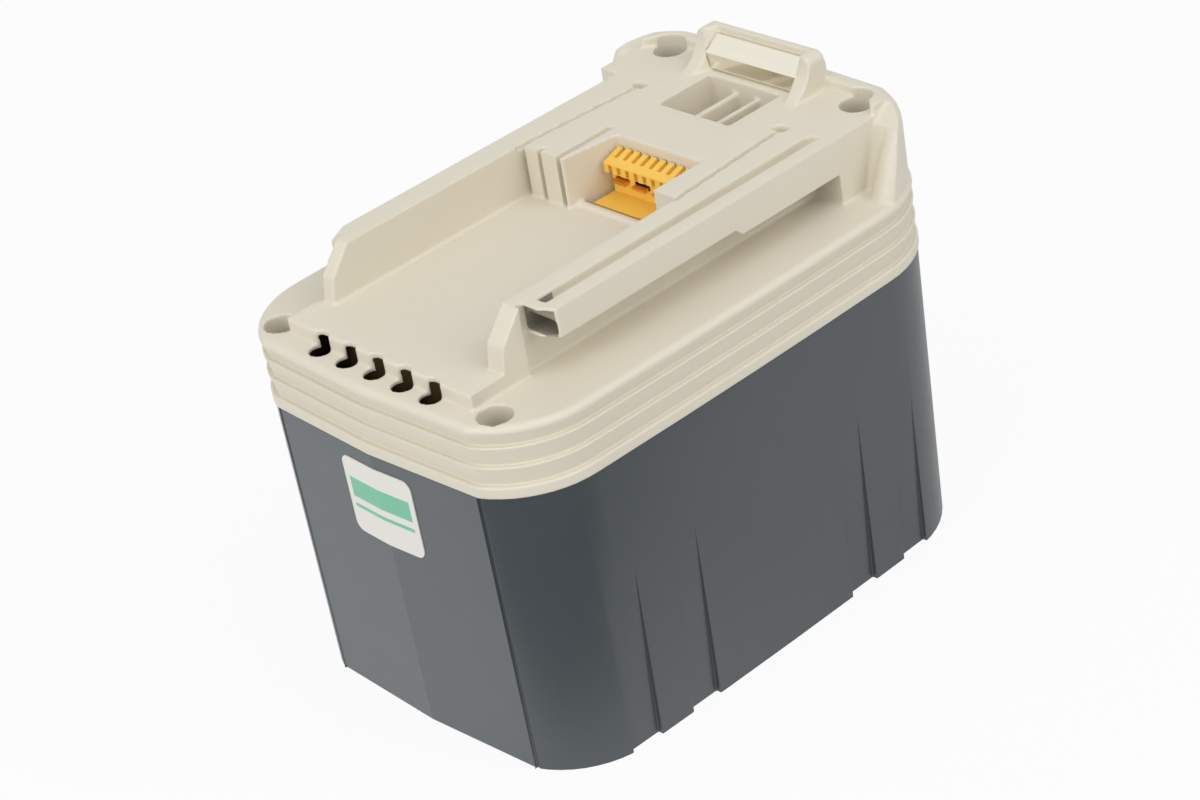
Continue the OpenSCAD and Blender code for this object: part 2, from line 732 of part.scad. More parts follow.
module top_cap() {
    color("#ddd6c4") difference() {
        union() {
            difference() {
                cap_mass();
                cap_hollow();
                rear_step();
                groove_reliefs();
            }
            intersection() {
                union() {
                    pocket_space(skin);
                    recess_space(skin);
                }
                translate([-rail_in, block_y, deck_under]) cube([trough_w, half_l - block_y, top_z - deck_under]);
            }
            hook_block();
            intersection() {
                for (w = wells)
                    translate([w[0], w[1], joint_z]) cylinder(r = boss_r, h = deck_under - joint_z + 1);
                union() {
                    slab(joint_z, deck_z - 1, wall + fit_gap);
                    slab(joint_z + lap_h + fit_gap, deck_z - 1, wall / 2 + fit_gap);
                }
            }
        }
        difference() {
            pocket_space();
            translate([-far / 2, block_y, 0]) cube([far, sill_in + sill_t, trough_z]);
            translate([-far / 2, block_y + sill_in, 0]) cube([far, sill_t, trough_z + sill_h]);
        }
        difference() {
            recess_space();
            for (s = [-1, 1])
                translate([s * rib_x - rib_t / 2, recess_y0 - 1, recess_z - 1])
                    cube([rib_t, recess_l + 2, recess_d - rib_drop + 1]);
            translate([-far / 2, hook_y0 + cheek_r, 0]) cube([far, far, far]);
        }
        block_slits();
        block_marks();
        for (i = [1:leaves])
            translate([leaf_x(i) - tag_w / 2 - fit_gap, pocket_y1 - 1, tag_z - fit_gap])
                cube([tag_w + 2 * fit_gap, skin + 2, tag_t + 2 * fit_gap]);
        for (k = [0 : vents - 1])
            translate([(k - (vents - 1) / 2) * vent_pitch, floor_y - vent_back, deck_under - 1])
                cylinder(r = vent_r, h = rail_h);
        for (w = wells) {
            translate([w[0], w[1], well_head]) cylinder(r = well_r, h = far);
            translate([w[0], w[1], joint_z - 1]) cylinder(r = screw_r + 0.2, h = seat_h + 2);
        }
    }
}

module terminal_holder() {
    slots = floor(holder_w / comb_pitch) - 1;
    color("#e6b23c") difference() {
        union() {
            translate([holder_x0, holder_y0, pocket_z]) cube([holder_w, holder_y1 - holder_y0, lower_jaw]);
            translate([holder_x0, back_y, pocket_z]) cube([holder_w, holder_back, jaw_z - pocket_z + eps]);
            translate([holder_x0, 0, 0]) rotate([90, 0, 90]) linear_extrude(holder_w) polygon([
                [jaw_y, jaw_z],
                [holder_y1, jaw_z],
                [holder_y1, holder_z1],
                [jaw_y, jaw_z + upper_jaw]
            ]);
        }
        for (k = [0 : slots]) {
            x = (holder_x0 + holder_x1) / 2 + (k - slots / 2) * comb_pitch - comb_w / 2;
            translate([x, jaw_y - 1, jaw_z - 1]) cube([comb_w, 1.9, upper_jaw + 0.6]);
            translate([x, back_y, holder_z1 - 1.6]) cube([comb_w, holder_back + 1, 3]);
        }
        for (i = [1:leaves]) {
            translate([leaf_x(i), knuckle_y, knuckle_z]) rotate([0, 90, 0])
                cylinder(r = knuckle_r + knuckle_gap, h = leaf_w + 2 * fit_gap, center = true);
            translate([leaf_x(i) - leaf_w / 2 - fit_gap, back_y - 1, knuckle_z - leaf_t / 2 - fit_gap])
                cube([leaf_w + 2 * fit_gap, holder_back / 2 + 1, leaf_t + 2 * fit_gap + leaf_room]);
            translate([leaf_x(i) - tag_w / 2, tag_y0, tag_z]) cube([tag_w, holder_back, tag_t]);
        }
    }
}

module contact_leaf(i) {
    color("#b8763a") translate([leaf_x(i), 0, 0]) {
        translate([0, knuckle_y, knuckle_z]) rotate([0, 90, 0]) cylinder(r = knuckle_r, h = leaf_w, center = true);
        translate([-leaf_w / 2, leaf_tip_y, knuckle_z - leaf_t / 2])
            cube([leaf_w, knuckle_y - leaf_tip_y, leaf_t]);
        translate([0, leaf_tip_y + leaf_t, knuckle_z - leaf_t / 2]) rotate([0, 90, 0])
            cylinder(r = leaf_t, h = leaf_w, center = true);
    }
}

module contact_tags() {
    color("#c9b48a") for (i = [1:leaves])
        translate([leaf_x(i) - tag_w / 2, tag_y0, tag_z]) cube([tag_w, tag_y1 - tag_y0, tag_t]);
}

module cap_screws() {
    color("#8d9092") for (w = wells)
        translate([w[0], w[1], well_head]) difference() {
            union() {
                translate([0, 0, -screw_l]) cylinder(r = screw_r, h = screw_l + eps);
                cylinder(r = head_r, h = head_h);
            }
            for (a = [0, 90])
                rotate([0, 0, a]) translate([-head_r * 0.6, -0.4, head_h - 1]) cube([head_r * 1.2, 0.8, 2]);
        }
}

module rating_label() {
    color("#e8e6df") intersection() {
        difference() {
            ring_stack(case_rows(0, -label_t));
            ring_stack(case_rows(-1));
        }
        translate([0, 0, joint_z - label_set - label_h / 2]) rotate([90, 0, 0]) linear_extrude(far) union() {
            square([label_w, label_h - 4], center = true);
            square([label_w - 4, label_h], center = true);
            for (sx = [-1, 1], sy = [-1, 1])
                translate([sx * (label_w / 2 - 2), sy * (label_h / 2 - 2)]) circle(r = 2);
        }
    }
}

// Cell i: odd numbers lie at the front of a column and even ones behind; columns are turned end for end by turns.
module cell(i) {
    k = floor((i - 1) / cells_long);
    ahead = i % cells_long == 1;
    turn = k % 2 == 0 ? -1 : 1;
    middle = (ahead ? -1 : 1) * (strap_t + cell_l) / 2;
    color(i % 2 == 0 ? "#4d8a58" : "#56956a")
        translate([column_x(k), middle, column_z(k)]) rotate([-90 * turn, 0, 0]) {
            translate([0, 0, -cell_l / 2]) cylinder(r = cell_r, h = cell_l - button_h);
            translate([0, 0, cell_l / 2 - button_h - eps]) cylinder(r = button_d / 2, h = button_h + eps);
        }
}

module pair_straps() {
    color("#b9bcbd") for (k = [0 : columns - 1])
        translate([column_x(k), 0, column_z(k)]) rotate([90, 0, 0])
            cylinder(r = button_d / 2, h = strap_t, center = true);
}

// Links between columns a and b at one end, as a flat strip.
module link(a, b, y) {
    x0 = min(column_x(a), column_x(b));
    x1 = max(column_x(a), column_x(b));
    z0 = min(column_z(a), column_z(b));
    z1 = max(column_z(a), column_z(b));
    translate([x0 - link_w / 2, y, z0 - link_w / 2]) cube([x1 - x0 + link_w, link_t, z1 - z0 + link_w]);
}

module links_front() {
    color("#b9bcbd") {
        for (k = [0 : 2 : columns - 2]) link(k, k + 1, -half_column - link_t);
        link(columns - 1, columns - 1, -half_column - link_t);
    }
}

module links_rear() {
    color("#b9bcbd") {
        for (k = [1 : 2 : columns - 2]) link(k, k + 1, half_column);
        link(0, 0, half_column);
    }
}

module end_board() {
    translate([-brick_w / 2, -board_out, wall + pad_t]) difference() {
        cube([brick_w, board_t, brick_h]);
        for (x = [0.5, 2.5])
            translate([x * brick_w / 3, board_t / 2, brick_h - pitch / 2])
                cube([link_w, board_t * 2, link_w], center = true);
        translate([brick_w / 6, board_t / 2, pitch / 2]) cube([link_w, board_t * 2, link_w], center = true);
    }
}

module end_board_front() {
    color("#b08a5a") end_board();
}

module end_board_rear() {
    color("#b08a5a") mirror([0, 1, 0]) end_board();
}

module pad(z) {
    translate([-brick_w / 2 + 2, -half_column + 2, z]) cube([brick_w - 4, 2 * half_column - 4, pad_t]);
}

module bottom_pad() {
    color("#3a3a3a") pad(wall);
}

module top_pad() {
    color("#3a3a3a") pad(deck_under - pad_t);
}

// Round lead through a row of points, with a slightly fuller ball at each bend.
module lead(points, r) {
    last = len(points) - 2;
    for (k = [0 : last]) {
        run = points[k + 1] - points[k];
        start = k == 0 ? 0 : r / 2;
        stop = norm(run) - (k == last ? 0 : r / 2);
        translate(points[k]) rotate([0, acos(run[2] / norm(run)), atan2(run[1], run[0])])
            translate([0, 0, start]) cylinder(r = r, h = stop - start, $fn = 24);
    }
    for (k = [1 : last]) translate(points[k]) sphere(r = r * 1.17, $fn = 24);
}

cutout_w = 10;
cutout_h = 12;
cutout_t = 3.4;
cutout_x = column_x(0) + pitch / 2;
cutout_z = column_z(0) + link_w / 2 + 6;

module thermal_cutout() {
    color("#2f2f31") {
        translate([cutout_x - cutout_w / 2, board_out, cutout_z]) cube([cutout_w, cutout_t, cutout_h]);
        translate([cutout_x - 2, board_out, column_z(0) - 2]) cube([4, 0.4, cutout_z - column_z(0) + 3]);
        translate([column_x(0) - 2, board_out, column_z(0) - 2]) cube([cutout_x - column_x(0) + 2, 0.4, 4]);
        translate([column_x(0) - 2, board_in, column_z(0) - 2]) cube([4, board_t + 0.2, 4]);
    }
}

thermistor_at = [pocket_x, block_y + pocket_l + 8, deck_under + 1.5];

module thermistor() {
    color("#1f6f4a") translate(thermistor_at) {
        sphere(r = 1.5, $fn = 32);
        rotate([-90, 0, 0]) cylinder(r = 1.5, h = 4, $fn = 32);
    }
}

module lead_positive() {
    last = columns - 1;
    x = (pocket_right + skin + groove_x - wall) / 2;
    y = -board_out - lead_r * 1.17;
    color("#a32020") lead([
        [column_x(last) - 3, -board_in, column_z(last)],
        [column_x(last) - 3, y, column_z(last)],
        [x, y, lead_z],
        [x, y + 5, lead_z],
        [x, tag_y1 - 2, lead_z],
        [leaf_x(leaves), tag_y1 - 2, lead_z],
        [leaf_x(leaves), tag_y1 - 2, tag_z]
    ], lead_r);
}

module lead_negative() {
    x = -rail_in + wall + lead_r + 2;
    y = board_out + cutout_t / 2;
    color("#202124") lead([
        [cutout_x, y, cutout_z + cutout_h],
        [cutout_x, y, cutout_z + cutout_h + 6],
        [x, y, lead_z],
        [x, tag_y1 + 2, lead_z],
        [leaf_x(1), tag_y1 - 2, lead_z],
        [leaf_x(1), tag_y1 - 2, tag_z]
    ], lead_r);
}

module sense_leads() {
    color("#d8d8d0") for (i = [2, 3]) lead([
        thermistor_at + [(i - 2.5) * 1.6, 4, 0],
        thermistor_at + [(i - 2.5) * 1.6, sense_run, 0],
        thermistor_at + [(i - 2.5) * 1.6, sense_run, 3],
        [leaf_x(i), tag_y1 - 2, thermistor_at[2] + 3],
        [leaf_x(i), tag_y1 - 2, tag_z]
    ], sense_r);
}

lower_case();
top_cap();
catch_plate();
terminal_holder();
for (i = [1:leaves]) contact_leaf(i);
contact_tags();
cap_screws();
rating_label();
for (i = [1:cells]) cell(i);
pair_straps();
links_front();
links_rear();
end_board_front();
end_board_rear();
bottom_pad();
top_pad();
thermal_cutout();
thermistor();
lead_positive();
lead_negative();
sense_leads();
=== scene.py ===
"""Looks of a slide-on power tool battery pack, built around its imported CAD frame."""

import json
import logging
import math
from dataclasses import dataclass
from enum import Enum
from typing import Any

import bpy
from mathutils import Matrix, Vector

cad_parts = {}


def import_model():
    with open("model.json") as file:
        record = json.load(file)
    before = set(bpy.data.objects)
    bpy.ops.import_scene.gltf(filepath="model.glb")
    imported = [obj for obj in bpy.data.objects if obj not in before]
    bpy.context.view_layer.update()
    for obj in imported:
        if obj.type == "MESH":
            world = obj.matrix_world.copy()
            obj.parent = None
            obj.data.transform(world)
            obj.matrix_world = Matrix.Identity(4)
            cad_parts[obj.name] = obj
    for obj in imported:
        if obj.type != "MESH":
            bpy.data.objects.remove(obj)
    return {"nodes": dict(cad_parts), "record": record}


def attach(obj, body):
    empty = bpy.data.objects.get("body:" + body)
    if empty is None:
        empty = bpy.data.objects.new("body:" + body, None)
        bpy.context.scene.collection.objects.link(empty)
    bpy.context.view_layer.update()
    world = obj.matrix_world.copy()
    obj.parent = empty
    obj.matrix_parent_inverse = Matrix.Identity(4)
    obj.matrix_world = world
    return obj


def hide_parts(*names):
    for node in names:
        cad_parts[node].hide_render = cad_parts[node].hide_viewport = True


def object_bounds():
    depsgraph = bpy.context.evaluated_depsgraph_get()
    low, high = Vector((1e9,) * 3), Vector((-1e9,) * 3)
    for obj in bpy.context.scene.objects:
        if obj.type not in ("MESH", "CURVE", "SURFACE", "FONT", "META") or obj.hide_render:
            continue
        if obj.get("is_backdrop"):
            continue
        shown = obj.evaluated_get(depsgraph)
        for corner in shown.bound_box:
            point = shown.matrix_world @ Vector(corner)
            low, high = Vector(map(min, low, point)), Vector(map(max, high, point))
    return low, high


LOG = logging.getLogger("battery_pack")
MM = 0.001
WHITE = (1.0, 1.0, 1.0)
ORIGIN = (0.0, 0.0, 0.0)
UP = (0.0, 0.0, 1.0)
Triple = tuple[float, float, float]


def srgb(red: int, green: int, blue: int) -> Triple:
    """Turn 8-bit screen values into a linear colour.

    Args:
        red: Red, 0 to 255.
        green: Green, 0 to 255.
        blue: Blue, 0 to 255.

    Returns:
        The linear colour.
    """
    def linear(value: int) -> float:
        """Linear value of one channel."""
        part = value / 255
        return part / 12.92 if part <= 0.04045 else ((part + 0.055) / 1.055) ** 2.4

    return linear(red), linear(green), linear(blue)


class Graph:
    """Node tree of a material or world, with short ways to add nodes and sums."""

    def __init__(self, owner: bpy.types.Material | bpy.types.World) -> None:
        """Start with the owner's tree, emptied.

        Args:
            owner: The material or world.
        """
        owner.use_nodes = True
        self.owner = owner
        self.tree = owner.node_tree
        self.tree.nodes.clear()

    @classmethod
    def of_material(cls, name: str) -> "Graph":
        """Graph of a new material."""
        return cls(bpy.data.materials.new(name))

    def node(self, kind: str, inputs: dict[str | int, Any] | None = None, out: str | int = 0,
             **props: Any) -> "Wire":
        """Add a node.

        Args:
            kind: Node type, such as "ShaderNodeMath".
            inputs: Values or wires for its inputs, by name or number.
            out: Output that the returned wire comes from.
            props: Attributes set on the node first.

        Returns:
            A wire from the chosen output.
        """
        made = self.tree.nodes.new(kind)
        for key, value in props.items():
            setattr(made, key, value)
        for key, value in (inputs or {}).items():
            self.join(made.inputs[key], value)
        return Wire(self, made.outputs[out])

    def join(self, socket: bpy.types.NodeSocket, value: Any) -> None:
        """Link a wire to a socket, or set the socket's own value.

        Args:
            socket: The input.
            value: A wire, a number, a colour or a vector.
        """
        if isinstance(value, Wire):
            self.tree.links.new(value.socket, socket)
        elif isinstance(value, tuple) and len(value) == 3 and socket.type == "RGBA":
            socket.default_value = (*value, 1.0)
        else:
            socket.default_value = value

    def place(self) -> "Wire":
        """Object coordinates, in metres."""
        return self.node("ShaderNodeTexCoord", out="Object")

    def axes(self, point: "Wire") -> tuple["Wire", "Wire", "Wire"]:
        """Split a point.

        Args:
            point: The point.

        Returns:
            Its x, y and z.
        """
        made = self.tree.nodes.new("ShaderNodeSeparateXYZ")
        self.join(made.inputs[0], point)
        return tuple(Wire(self, output) for output in made.outputs)

    def noise(self, scale: float, detail: float = 2.0, point: "Wire | None" = None) -> "Wire":
        """Noise from 0 to 1 on Object coordinates, or on another point."""
        inputs = {"Vector": point or self.place(), "Scale": scale, "Detail": detail}
        return self.node("ShaderNodeTexNoise", inputs)

    def mix(self, factor: Any, first: Any, second: Any) -> "Wire":
        """Colour between two colours."""
        inputs = {0: factor, 6: first, 7: second}
        return self.node("ShaderNodeMix", inputs, out=2, data_type="RGBA")

    def surface(self, **inputs: Any) -> bpy.types.Material:
        """Close the material with one principled surface.

        Args:
            inputs: Input values, with underscores for the spaces in their names.

        Returns:
            The finished material.
        """
        named = {key.replace("_", " "): value for key, value in inputs.items()}
        self.close(self.node("ShaderNodeBsdfPrincipled", named))
        return self.owner

    def close(self, shader: "Wire") -> None:
        """Send a shader to the output of the material or world."""
        kind = "World" if isinstance(self.owner, bpy.types.World) else "Material"
        self.join(self.tree.nodes.new(f"ShaderNodeOutput{kind}").inputs["Surface"], shader)


@dataclass(frozen=True)
class Wire:
    """One output socket, with arithmetic that adds math nodes."""

    graph: Graph
    socket: bpy.types.NodeSocket

    def math(self, operation: str, *others: Any) -> "Wire":
        """Math node on this value and up to two others."""
        inputs = dict(enumerate((self, *others)))
        return self.graph.node("ShaderNodeMath", inputs, operation=operation)

    def __add__(self, other: Any) -> "Wire":
        """Sum."""
        return self.math("ADD", other)

    def __sub__(self, other: Any) -> "Wire":
        """Difference."""
        return self.math("SUBTRACT", other)

    def __rsub__(self, other: float) -> "Wire":
        """Number minus this."""
        return (self * -1.0) + other

    def __mul__(self, other: Any) -> "Wire":
        """Product."""
        return self.math("MULTIPLY", other)

    def __truediv__(self, other: Any) -> "Wire":
        """Quotient."""
        return self.math("DIVIDE", other)

    def __abs__(self) -> "Wire":
        """Absolute value."""
        return self.math("ABSOLUTE")

    __radd__ = __add__
    __rmul__ = __mul__

    def above(self, edge: float, soft: float) -> "Wire":
        """Step from 0 to 1 across an edge of some softness."""
        inputs = {"Value": self, "From Min": edge - soft, "From Max": edge + soft}
        return self.graph.node("ShaderNodeMapRange", inputs, interpolation_type="SMOOTHSTEP")


@dataclass(frozen=True)
class Plastic:
    """Moulded plastic with a fine grain, faint mottling and uneven gloss."""

    name: str
    colour: Triple
    roughness: float = 0.45
    grain: float = 0.05
    grain_scale: float = 2500.0
    mottle: float = 0.06
    specular: float = 0.5
    grain_height: float = 0.2 * MM
    mottle_scale: float = 70.0
    mottle_detail: float = 4.0
    gloss_range: float = 0.1
    gloss_scale: float = 220.0
    gloss_detail: float = 3.0

    def tint(self, graph: Graph) -> Wire:
        """Colour with its mottling.

        Args:
            graph: Graph of the material.

        Returns:
            The colour.
        """
        dark = tuple(part * (1.0 - self.mottle) for part in self.colour)
        light = tuple(min(1.0, part * (1.0 + self.mottle)) for part in self.colour)
        return graph.mix(graph.noise(self.mottle_scale, self.mottle_detail), dark, light)

    def build(self) -> bpy.types.Material:
        """Make the material.

        Returns:
            The material.
        """
        graph = Graph.of_material(self.name)
        normal = graph.node("ShaderNodeBump", {
            "Strength": self.grain, "Distance": self.grain_height,
            "Height": graph.noise(self.grain_scale)})
        gloss = graph.noise(self.gloss_scale, self.gloss_detail) * self.gloss_range
        return graph.surface(
            Base_Color=self.tint(graph), Roughness=gloss + (self.roughness - self.gloss_range / 2),
            Normal=normal, Specular_IOR_Level=self.specular)


@dataclass(frozen=True)
class Room:
    """Box in a hollow moulding, in millimetres, where shade is painted into the plastic's colour for
    the little light that reaches it.

    The share is the part of the plastic's colour that is left there.
    """

    low: Triple
    high: Triple
    share: float = 0.03
    soft: float = 0.01

    def mirrored(self) -> "Room":
        """The same box on the other side of the pack."""
        low, high = (-self.high[0], *self.low[1:]), (-self.low[0], *self.high[1:])
        return Room(low, high, self.share, self.soft)

    def mask(self, graph: Graph) -> Wire:
        """Mark the inside of the box.

        Args:
            graph: Graph of the material.

        Returns:
            1 inside the box and 0 outside.
        """
        soft = self.soft * MM
        across, along, up = (
            axis.above(low * MM, soft) * (1.0 - axis.above(high * MM, soft))
            for axis, low, high in zip(graph.axes(graph.place()), self.low, self.high))
        return across * along * up


@dataclass(frozen=True)
class PaintedShadePlastic(Plastic):
    """Plastic of a hollow moulding, with painted shade darkening its colour inside, where that shows
    through its openings.
    """

    painted_shades: tuple[Room, ...] = ()

    def tint(self, graph: Graph) -> Wire:
        """Colour with its mottling, darkened by painted shade within each box.

        Args:
            graph: Graph of the material.

        Returns:
            The colour.
        """
        colour = super().tint(graph)
        # Painted shade: within each box the colour falls to its share of the plain colour.
        for shade_box in self.painted_shades:
            shaded = tuple(part * shade_box.share for part in self.colour)
            colour = graph.mix(shade_box.mask(graph), colour, shaded)
        return colour


@dataclass(frozen=True)
class PrintedFilm(Plastic):
    """White label film with two plain bands of ink, each from one share of its height to another."""

    ink: Triple = srgb(104, 192, 152)
    foot: float = 0.0
    height: float = 16.6 * MM
    half_width: float = 8.2 * MM
    bands: tuple[tuple[float, float], ...] = ((0.50, 0.76), (0.36, 0.41))
    side_soft: float = 0.1 * MM
    band_soft: float = 0.006
    ink_wear: float = 0.1
    wear_scale: float = 900.0

    def tint(self, graph: Graph) -> Wire:
        """White film with its bands.

        Args:
            graph: Graph of the material.

        Returns:
            The colour.
        """
        across, _, up = graph.axes(graph.place())
        inside = 1.0 - abs(across).above(self.half_width, self.side_soft)
        level = (up - self.foot) / self.height
        printed = sum(
            level.above(low, self.band_soft) * (1.0 - level.above(high, self.band_soft))
            for low, high in self.bands)
        cover = graph.noise(self.wear_scale) * self.ink_wear + (1.0 - self.ink_wear)
        return graph.mix(printed * inside * cover, self.colour, self.ink)


@dataclass(frozen=True)
class Metal:
    """Drawn or rolled metal with fine streaks along one axis."""

    name: str
    colour: Triple
    roughness: float = 0.25
    streak: Triple = (40.0, 4000.0, 4000.0)
    depth: float = 0.02
    streak_height: float = 0.1 * MM
    shade: float = 0.93
    gloss_range: float = 0.08

    def build(self) -> bpy.types.Material:
        """Make the material.

        Returns:
            The material.
        """
        graph = Graph.of_material(self.name)
        point = graph.node("ShaderNodeMapping", {"Vector": graph.place(), "Scale": self.streak})
        streaks = graph.noise(1.0, point=point)
        normal = graph.node("ShaderNodeBump", {
            "Strength": self.depth, "Distance": self.streak_height, "Height": streaks})
        shaded = tuple(self.shade * part for part in self.colour)
        return graph.surface(
            Base_Color=graph.mix(streaks, shaded, self.colour), Metallic=1.0,
            Roughness=streaks * self.gloss_range + (self.roughness - self.gloss_range / 2),
            Normal=normal)


# Boxes of painted shade in the cap's colour, in millimetres: behind the vents, under the deck, in
# the lip's front hollow and at the groove ends.
BEHIND_VENTS = Room((-19.0, -51.95, 60.0), (19.0, -44.5, 76.3))
UNDER_DECK = Room((-19.0, -55.6, 60.0), (19.0, 50.0, 73.7))
LIP_FRONT = Room((23.9, -36.6, 82.3), (30.75, -31.0, 87.45), 0.4)
GROOVE_END = Room((20.9, 29.9, 75.5), (23.95, 36.1, 80.8), 0.35)


class Finish(Enum):
    """Finishes of the pack, by the record's material slots."""

    case_plastic = Plastic("case_plastic", srgb(69, 76, 80), 0.3, 0.03, specular=0.85)
    # The cap's colour carries painted shade inside the boxes above.
    cap_plastic = PaintedShadePlastic(
        "cap_plastic", srgb(222, 215, 198), 0.48, 0.03, mottle=0.015,
        painted_shades=(BEHIND_VENTS, UNDER_DECK, LIP_FRONT, GROOVE_END, GROOVE_END.mirrored()))
    catch_steel = Metal("catch_steel", srgb(238, 232, 216), 0.16)
    holder_plastic = Plastic("holder_plastic", srgb(244, 197, 82), 0.4, 0.02, mottle=0.03)
    leaf_metal = Metal("leaf_metal", srgb(232, 178, 92), 0.45)
    tag_metal = Metal("tag_metal", srgb(205, 190, 150), 0.3)
    screw_steel = Metal("screw_steel", srgb(160, 160, 162), 0.35)
    label_film = PrintedFilm("label_film", srgb(230, 227, 219), 0.35, 0.0, foot=39.8 * MM)
    cell_can = Plastic("cell_can", srgb(70, 140, 90), 0.3, 0.0)
    nickel = Metal("nickel", srgb(190, 190, 188), 0.3)
    fibre = Plastic("fibre", srgb(170, 140, 95), 0.8, 0.1)
    pad_rubber = Plastic("pad_rubber", srgb(50, 50, 50), 0.9, 0.1)
    cutout_body = Plastic("cutout_body", srgb(42, 42, 45), 0.5)
    bead_resin = Plastic("bead_resin", srgb(25, 110, 70), 0.2, 0.0)
    red_lead = Plastic("red_lead", srgb(160, 30, 30), 0.4, 0.0)
    black_lead = Plastic("black_lead", srgb(35, 35, 38), 0.4, 0.0)
    pale_lead = Plastic("pale_lead", srgb(215, 215, 208), 0.4, 0.0)


@dataclass
class Wardrobe:
    """Materials by slot, each made once."""

    slots: dict[str, str]

    def __post_init__(self) -> None:
        """Make every finish."""
        self.made = {finish.name: finish.value.build() for finish in Finish}

    def dress(self, thing: bpy.types.Object, slot: str) -> None:
        """Give an object the one material of a slot."""
        thing.data.materials.clear()
        thing.data.materials.append(self.made[slot])


@dataclass
class RoundedPart:
    """A copy of one CAD node with its sharp edges rounded, which stands for that node."""

    node: str
    edge: float
    steps: int = 2
    sharp: float = 30.0
    ridges: tuple[float, ...] = ()
    weld: float = 0.002 * MM
    flat: float = 0.05
    ridge_reach: float = 0.1 * MM
    end_wall: float = 50.0 * MM

    def copy(self, source: bpy.types.Object) -> bpy.types.Object:
        """Copy a CAD node's mesh as a piece of its own, with doubles merged and flat faces joined.

        Args:
            source: The CAD node's object.

        Returns:
            The new piece.
        """
        bpy.ops.object.select_all(action="DESELECT")
        piece = bpy.data.objects.new(f"{self.node}_rounded", source.data.copy())
        bpy.context.scene.collection.objects.link(piece)
        bpy.context.view_layer.objects.active = piece
        piece.select_set(True)
        bpy.ops.object.mode_set(mode="EDIT")
        bpy.ops.mesh.select_all(action="SELECT")
        bpy.ops.mesh.remove_doubles(threshold=self.weld)
        bpy.ops.mesh.dissolve_limited(angle_limit=math.radians(self.flat))
        bpy.ops.object.mode_set(mode="OBJECT")
        return piece

    def round_off(self, piece: bpy.types.Object) -> None:
        """Round the edges of a copy with a bevel.

        Args:
            piece: The copy.
        """
        bevel = piece.modifiers.new("edges", "BEVEL")
        bevel.width = self.edge
        bevel.segments = self.steps
        bevel.limit_method = "ANGLE"
        bevel.angle_limit = math.radians(self.sharp)
        bevel.use_clamp_overlap = False
        bevel.miter_outer = "MITER_ARC"
        bpy.ops.object.modifier_apply(modifier=bevel.name)

    def even_out(self, piece: bpy.types.Object) -> None:
        """Smooth the shading, keep the ridges of the end walls sharp and keep flat faces flat.

        Args:
            piece: The copy.
        """
        bpy.ops.object.shade_smooth_by_angle(angle=math.radians(self.sharp))
        points = [point.co for point in piece.data.vertices]
        for edge in piece.data.edges:
            ends = [points[index] for index in edge.vertices]
            on_wall = all(abs(end.y) > self.end_wall for end in ends)
            for ridge in self.ridges:
                if on_wall and all(abs(abs(end.x) - ridge) < self.ridge_reach for end in ends):
                    edge.use_edge_sharp = True
        even = piece.modifiers.new("even", "WEIGHTED_NORMAL")
        even.keep_sharp = True
        bpy.ops.object.modifier_apply(modifier=even.name)

    def build(self, source: bpy.types.Object) -> bpy.types.Object:
        """Round the copy's edges and let it stand for the node.

        Args:
            source: The CAD node's object.

        Returns:
            The finished piece.
        """
        piece = self.copy(source)
        self.round_off(piece)
        self.even_out(piece)
        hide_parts(self.node)
        return piece


@dataclass
class MeltedPart(RoundedPart):
    """A moulding softened all over above a seam, on a foot with crisp edges.

    Both halves are first cut with some spare beyond the seam, and again at the seam once their
    edges are done.
    """

    most: int = 170000
    seam: float = 71.2 * MM
    spare: float = 0.6 * MM
    foot_edge: float = 0.45 * MM
    foot_steps: int = 3
    melt_pull: float = 0.5
    melt_sharp: float = 60.0

    def keep(self, height: float, upper: bool) -> None:
        """Cut the active copy at a height and keep one side, closed.

        The cut is made at a thousand times the size, where the fill of its section is exact.

        Args:
            height: Height of the cut.
            upper: Whether the upper side is kept.
        """
        bpy.ops.object.mode_set(mode="EDIT")
        bpy.ops.mesh.select_all(action="SELECT")
        bpy.ops.transform.resize(value=(1.0 / MM,) * 3, center_override=ORIGIN)
        bpy.ops.mesh.bisect(
            plane_co=(0.0, 0.0, height / MM), plane_no=UP, use_fill=True,
            clear_inner=upper, clear_outer=not upper)
        bpy.ops.mesh.select_all(action="SELECT")
        bpy.ops.transform.resize(value=(MM,) * 3, center_override=ORIGIN)
        bpy.ops.object.mode_set(mode="OBJECT")

    def melt(self, piece: bpy.types.Object) -> None:
        """Remesh a copy finely, smooth it and thin it where it is flat.

        Args:
            piece: The copy.
        """
        remesh = piece.modifiers.new("grid", "REMESH")
        remesh.mode = "VOXEL"
        remesh.voxel_size = self.edge
        bpy.ops.object.modifier_apply(modifier=remesh.name)
        smooth = piece.modifiers.new("melt", "SMOOTH")
        smooth.factor = self.melt_pull
        smooth.iterations = self.steps
        bpy.ops.object.modifier_apply(modifier=smooth.name)
        self.keep(self.seam - self.spare, True)
        thin = piece.modifiers.new("thin", "DECIMATE")
        thin.ratio = min(1.0, self.most / (2 * len(piece.data.polygons)))
        bpy.ops.object.modifier_apply(modifier=thin.name)
        self.keep(self.seam, True)
        bpy.ops.object.shade_smooth_by_angle(angle=math.radians(self.melt_sharp))

    def build(self, source: bpy.types.Object) -> bpy.types.Object:
        """Melt the upper side, round the foot's edges and join the two.

        Args:
            source: The CAD node's object.

        Returns:
            The finished piece.
        """
        top = self.copy(source)
        self.melt(top)
        foot = self.copy(source)
        self.keep(self.seam + self.spare, False)
        RoundedPart(self.node, self.foot_edge, self.foot_steps).round_off(foot)
        self.keep(self.seam, False)
        self.even_out(foot)
        top.select_set(True)
        bpy.ops.object.join()
        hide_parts(self.node)
        return foot


